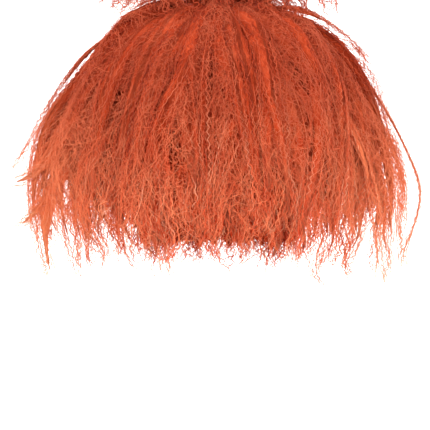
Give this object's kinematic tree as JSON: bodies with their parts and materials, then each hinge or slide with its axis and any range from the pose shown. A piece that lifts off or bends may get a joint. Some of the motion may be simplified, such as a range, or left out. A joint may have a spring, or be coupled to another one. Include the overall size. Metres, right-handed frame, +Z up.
{
  "type": "costume wig",
  "caption": "Full, frizzy crimped costume wig in orange-red: hair wefts sewn to a stretch cap with bendable ear tabs and nape adjusters.",
  "frame": {"origin": "on the head's axis, level with the tops of the ears, in the middle of the opening that takes the head", "axes": "+Z up; the wearer's face looks along -Y; +X is the wearer's left"},
  "size_m": [0.4462, 0.3449, 0.3279],
  "materials": {
    "crimped_hair": "crimped modacrylic fibre, orange-red with paler tips",
    "weft_track": "hair wefts, machine-stitched in three rows",
    "ribbon": "knitted elastic ribbon",
    "stretch_net": "stretch tulle net",
    "patch_cloth": "close-woven crown cloth",
    "stay_plastic": "bendable polyethylene stay",
    "band_velour": "brushed nylon band",
    "elastic": "woven elastic",
    "hook_tape": "moulded hook tape",
    "loop_tape": "brushed loop tape",
    "label_tape": "blank woven label"
  },
  "bodies": {
    "wig": {"adjuster_strap_left": "elastic", "adjuster_strap_right": "elastic", "crown_hair": "crimped_hair", "crown_net": "stretch_net", "crown_patch": "patch_cloth", "crown_weft_1": "weft_track", "crown_weft_2": "weft_track", "crown_weft_3": "weft_track", "crown_weft_4": "weft_track", "front_band": "band_velour", "front_hair_left": "crimped_hair", "front_hair_right": "crimped_hair", "front_weft": "weft_track", "inner_hair_back": "crimped_hair", "inner_hair_front_left": "crimped_hair", "inner_hair_front_right": "crimped_hair", "inner_hair_side_left": "crimped_hair", "inner_hair_side_right": "crimped_hair", "loop_pad_left": "loop_tape", "loop_pad_right": "loop_tape", "nape_band": "elastic", "nape_hair": "crimped_hair", "nape_weft": "weft_track", "outer_hair_back": "crimped_hair", "outer_hair_front_left": "crimped_hair", "outer_hair_front_right": "crimped_hair", "outer_hair_rear_left": "crimped_hair", "outer_hair_rear_right": "crimped_hair", "outer_hair_side_left": "crimped_hair", "outer_hair_side_right": "crimped_hair", "side_elastic_left": "elastic", "side_elastic_right": "elastic", "size_label": "label_tape", "weft_ribbon_1": "ribbon", "weft_ribbon_2": "ribbon", "weft_ribbon_3": "ribbon", "weft_ribbon_4": "ribbon", "weft_ribbon_5": "ribbon", "weft_ribbon_6": "ribbon", "weft_ribbon_7": "ribbon", "weft_row_1": "weft_track", "weft_row_2": "weft_track", "weft_row_3": "weft_track", "weft_row_4": "weft_track", "weft_row_5": "weft_track", "weft_row_6": "weft_track", "weft_row_7": "weft_track"},
    "ear_flap_left": {"ear_tab_left": "band_velour", "ear_tab_stay_left": "stay_plastic"},
    "ear_flap_right": {"ear_tab_right": "band_velour", "ear_tab_stay_right": "stay_plastic"},
    "adjuster_left": {"adjuster_end_left": "elastic"},
    "adjuster_right": {"adjuster_end_right": "elastic"},
    "hook_left": {"hook_tab_left": "hook_tape"},
    "hook_right": {"hook_tab_right": "hook_tape"}
  },
  "joints": [
    {"name": "adjuster_travel_left", "type": "hinge", "parent": "wig", "child": "adjuster_left", "pos_m": [0, 0.02975, -0.051], "axis": [0, 0, 1], "range_deg": [0, 17], "deforming": ["adjuster_strap_left"]},
    {"name": "hook_peel_left", "type": "hinge", "parent": "adjuster_left", "child": "hook_left", "pos_m": [0.03418, 0.07114, -0.051], "axis": [0.2048, 0.248, 0.9469], "range_deg": [0, 60]},
    {"name": "ear_tab_bend_left", "type": "hinge", "parent": "wig", "child": "ear_flap_left", "pos_m": [0.07081, -0.02975, 0.02], "axis": [-0.2661, -0.964, 0], "range_deg": [-6, 20]},
    {"name": "adjuster_travel_right", "type": "hinge", "parent": "wig", "child": "adjuster_right", "pos_m": [0, 0.02975, -0.051], "axis": [0, 0, -1], "range_deg": [0, 17], "deforming": ["adjuster_strap_right"]},
    {"name": "hook_peel_right", "type": "hinge", "parent": "adjuster_right", "child": "hook_right", "pos_m": [-0.03418, 0.07114, -0.051], "axis": [0.2048, -0.248, -0.9469], "range_deg": [0, 60]},
    {"name": "ear_tab_bend_right", "type": "hinge", "parent": "wig", "child": "ear_flap_right", "pos_m": [-0.07081, -0.02975, 0.02], "axis": [-0.2661, 0.964, 0], "range_deg": [-6, 20]}
  ]
}
